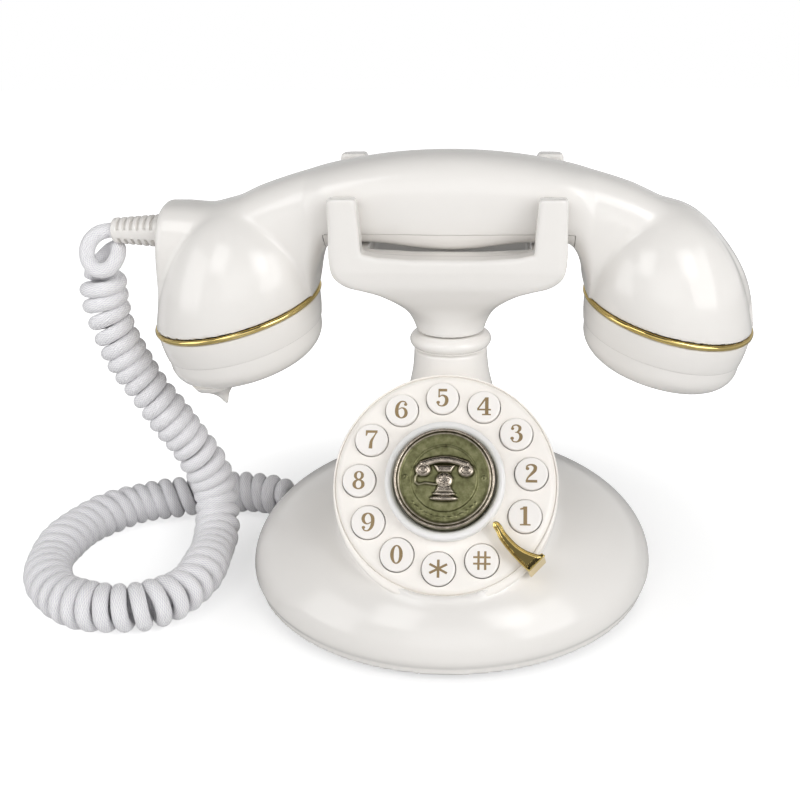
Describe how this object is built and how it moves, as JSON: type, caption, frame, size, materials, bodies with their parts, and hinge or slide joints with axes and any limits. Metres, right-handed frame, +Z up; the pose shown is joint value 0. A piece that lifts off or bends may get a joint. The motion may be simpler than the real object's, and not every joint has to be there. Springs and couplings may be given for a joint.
{
  "type": "compact telephone",
  "caption": "Compact corded bedroom telephone with a round domed base, push-button dial with finger stop, pronged cradle, arched handset and curly cord.",
  "frame": {"origin": "on the surface the telephone stands on, under the centre of its round base", "axes": "+Z up, +Y to the rear, +X along the handset to the ear end"},
  "size_m": [0.274, 0.1536, 0.1623],
  "materials": {
    "white_shell": "gloss",
    "dial_white": "satin",
    "key_white": "satin",
    "polished_gold": "polished",
    "antique_brass": "patinated",
    "grey_rubber": "matt",
    "dark_plastic": "matt",
    "circuit_board": "satin",
    "steel": "satin",
    "braided_cord": "woven"
  },
  "bodies": {
    "base": {"ballast_weight": "steel", "base_plate": "dark_plastic", "base_screw_1": "steel", "base_screw_2": "steel", "base_screw_3": "steel", "base_screw_4": "steel", "base_shell": "white_shell", "centre_ring": "key_white", "column_collar": "white_shell", "cord_plug": "dark_plastic", "cradle_yoke": "white_shell", "curly_cord": "braided_cord", "dial_plate": "dial_white", "finger_stop": "polished_gold", "foot_1": "grey_rubber", "foot_2": "grey_rubber", "foot_3": "grey_rubber", "foot_4": "grey_rubber", "handset_jack": "dark_plastic", "hook_switch": "dark_plastic", "key_mat": "grey_rubber", "keypad_board": "circuit_board", "line_jack": "dark_plastic", "main_board": "circuit_board", "medallion": "antique_brass", "ringer": "dark_plastic"},
    "handset": {"handset_body": "white_shell", "grip_underside": "white_shell", "grip_screw_1": "steel", "grip_screw_2": "steel", "handset_weight": "steel", "cord_boot": "white_shell", "mouth_trim_ring": "polished_gold", "mouth_band": "white_shell", "mouth_cap": "white_shell", "mouth_horn": "white_shell", "microphone": "dark_plastic", "ear_trim_ring": "polished_gold", "ear_band": "white_shell", "ear_cap": "white_shell", "ear_speaker": "dark_plastic"},
    "hook": {"hook_plunger": "key_white"},
    "ringer_slider": {"ringer_switch": "dark_plastic"},
    "tone_pulse_slider": {"tone_pulse_switch": "dark_plastic"},
    "key_1": {"key_1": "key_white"},
    "key_2": {"key_2": "key_white"},
    "key_3": {"key_3": "key_white"},
    "key_4": {"key_4": "key_white"},
    "key_5": {"key_5": "key_white"},
    "key_6": {"key_6": "key_white"},
    "key_7": {"key_7": "key_white"},
    "key_8": {"key_8": "key_white"},
    "key_9": {"key_9": "key_white"},
    "key_0": {"key_0": "key_white"},
    "key_star": {"key_star": "key_white"},
    "key_hash": {"key_hash": "key_white"}
  },
  "joints": [
    {"name": "handset_lift", "type": "slide", "parent": "base", "child": "handset", "axis": [0, -0.1219, 0.9925], "range_m": [0, 0.08]},
    {"name": "hook_rise", "type": "slide", "parent": "base", "child": "hook", "axis": [0, 0, 1], "range_m": [0, 0.004]},
    {"name": "ringer_slide", "type": "slide", "parent": "base", "child": "ringer_slider", "axis": [1, 0, 0], "range_m": [0, 0.004]},
    {"name": "tone_pulse_slide", "type": "slide", "parent": "base", "child": "tone_pulse_slider", "axis": [1, 0, 0], "range_m": [0, 0.004]},
    {"name": "press_1", "type": "slide", "parent": "base", "child": "key_1", "axis": [0, 0.8018, -0.5976], "range_m": [0, 0.0014], "stiffness_N_per_m": 300},
    {"name": "press_2", "type": "slide", "parent": "base", "child": "key_2", "axis": [0, 0.8018, -0.5976], "range_m": [0, 0.0014], "stiffness_N_per_m": 300},
    {"name": "press_3", "type": "slide", "parent": "base", "child": "key_3", "axis": [0, 0.8018, -0.5976], "range_m": [0, 0.0014], "stiffness_N_per_m": 300},
    {"name": "press_4", "type": "slide", "parent": "base", "child": "key_4", "axis": [0, 0.8018, -0.5976], "range_m": [0, 0.0014], "stiffness_N_per_m": 300},
    {"name": "press_5", "type": "slide", "parent": "base", "child": "key_5", "axis": [0, 0.8018, -0.5976], "range_m": [0, 0.0014], "stiffness_N_per_m": 300},
    {"name": "press_6", "type": "slide", "parent": "base", "child": "key_6", "axis": [0, 0.8018, -0.5976], "range_m": [0, 0.0014], "stiffness_N_per_m": 300},
    {"name": "press_7", "type": "slide", "parent": "base", "child": "key_7", "axis": [0, 0.8018, -0.5976], "range_m": [0, 0.0014], "stiffness_N_per_m": 300},
    {"name": "press_8", "type": "slide", "parent": "base", "child": "key_8", "axis": [0, 0.8018, -0.5976], "range_m": [0, 0.0014], "stiffness_N_per_m": 300},
    {"name": "press_9", "type": "slide", "parent": "base", "child": "key_9", "axis": [0, 0.8018, -0.5976], "range_m": [0, 0.0014], "stiffness_N_per_m": 300},
    {"name": "press_0", "type": "slide", "parent": "base", "child": "key_0", "axis": [0, 0.8018, -0.5976], "range_m": [0, 0.0014], "stiffness_N_per_m": 300},
    {"name": "press_star", "type": "slide", "parent": "base", "child": "key_star", "axis": [0, 0.8018, -0.5976], "range_m": [0, 0.0014], "stiffness_N_per_m": 300},
    {"name": "press_hash", "type": "slide", "parent": "base", "child": "key_hash", "axis": [0, 0.8018, -0.5976], "range_m": [0, 0.0014], "stiffness_N_per_m": 300}
  ],
  "couplings": [
    {"joint": "hook_rise", "follows": "handset_lift", "ratio": 0.05}
  ]
}
